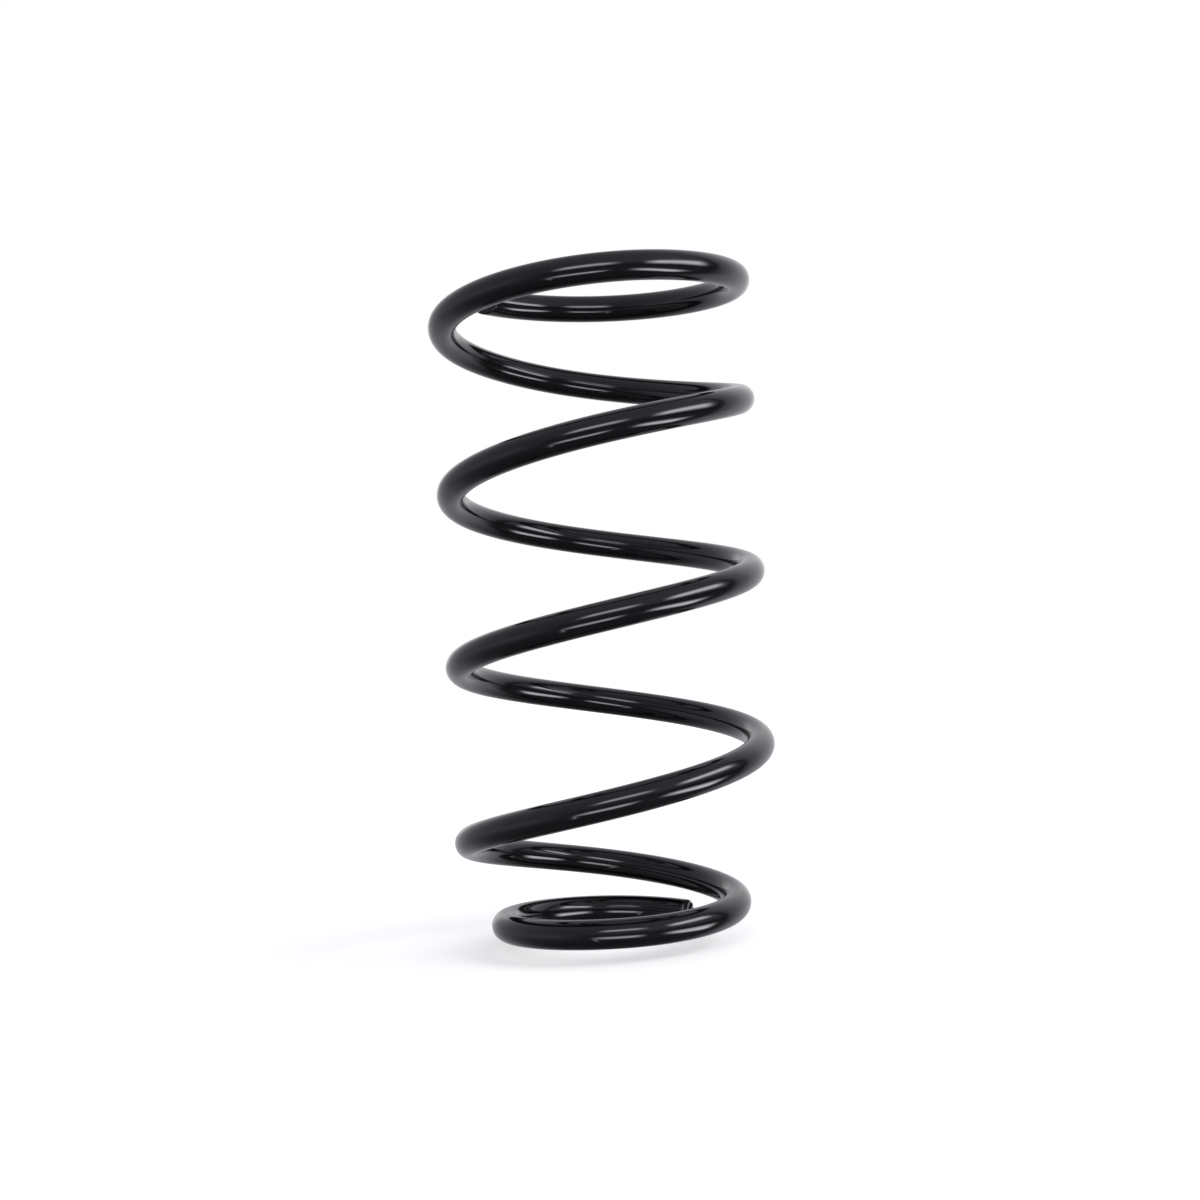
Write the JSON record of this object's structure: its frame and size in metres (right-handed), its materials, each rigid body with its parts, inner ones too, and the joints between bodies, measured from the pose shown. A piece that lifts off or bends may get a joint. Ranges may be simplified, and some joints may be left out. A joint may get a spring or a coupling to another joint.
{
  "type": "suspension coil spring",
  "caption": "Right-handed steel suspension coil spring with a reduced lower end coil, open square-cut ends and glossy black paint.",
  "frame": {"origin": "on the spring's axis, level with the lowest point of the lower end coil", "axes": "+Z along the axis of the body coils, from the reduced lower end coil to the upper end coil; -Y towards the picture's viewpoint, +X to its right"},
  "size_m": [0.1488, 0.1495, 0.3144],
  "materials": {
    "black_paint": "gloss black paint"
  },
  "bodies": {
    "root": {"coil_spring": "black_paint"}
  },
  "joints": []
}
